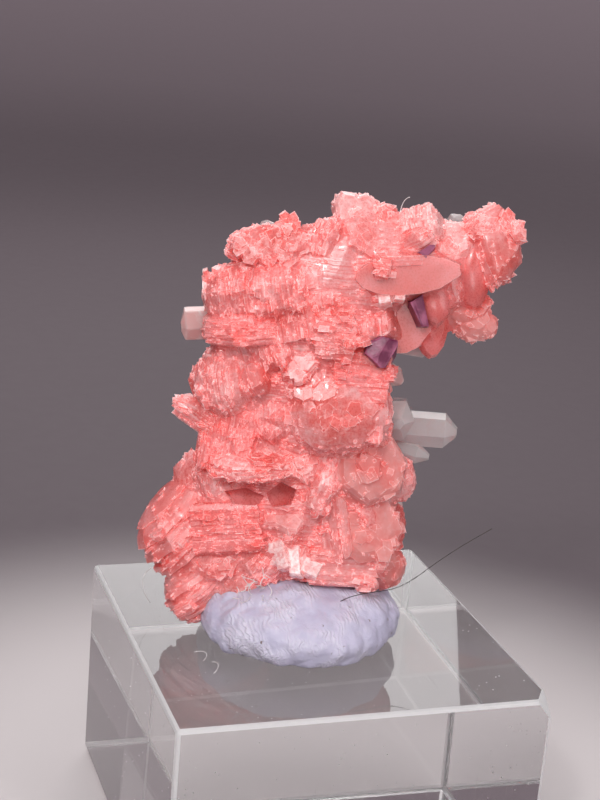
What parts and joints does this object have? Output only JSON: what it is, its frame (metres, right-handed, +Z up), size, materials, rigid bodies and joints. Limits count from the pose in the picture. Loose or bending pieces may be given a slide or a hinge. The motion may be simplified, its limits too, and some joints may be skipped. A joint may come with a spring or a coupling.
{
  "type": "mounted rhodochrosite specimen with quartz and fluorite",
  "caption": "Upright pink rhodochrosite of stacked crystal leaves with clear quartz points and purple fluorite, pressed into a putty mound on a clear square block.",
  "frame": {"origin": "centre of the block's flat underside", "axes": "+Z up out of the block's top, -Y out of the block's front side, +X to the right"},
  "size_m": [0.032, 0.032, 0.0576],
  "materials": {
    "clear_acrylic": "clear, polished, finely scratched",
    "putty": "matt lilac-grey, ridged and creased by fingers",
    "rhodochrosite": "translucent pink-red, glassy cleavage faces and sugary edges",
    "quartz": "clear, glassy",
    "fluorite": "deep purple, glassy",
    "lint": "loose pale fibres, matt",
    "hair": "one dark hair, faintly glossy"
  },
  "bodies": {
    "root": {"acrylic_block": "clear_acrylic", "mounting_putty": "putty", "rhodochrosite": "rhodochrosite", "quartz_cluster": "quartz", "quartz_stub": "quartz", "quartz_nub": "quartz", "quartz_window": "quartz", "quartz_crest": "quartz", "quartz_neck": "quartz", "quartz_bead": "quartz", "fluorite_large": "fluorite", "fluorite_medium": "fluorite", "fluorite_small": "fluorite"}
  },
  "joints": []
}
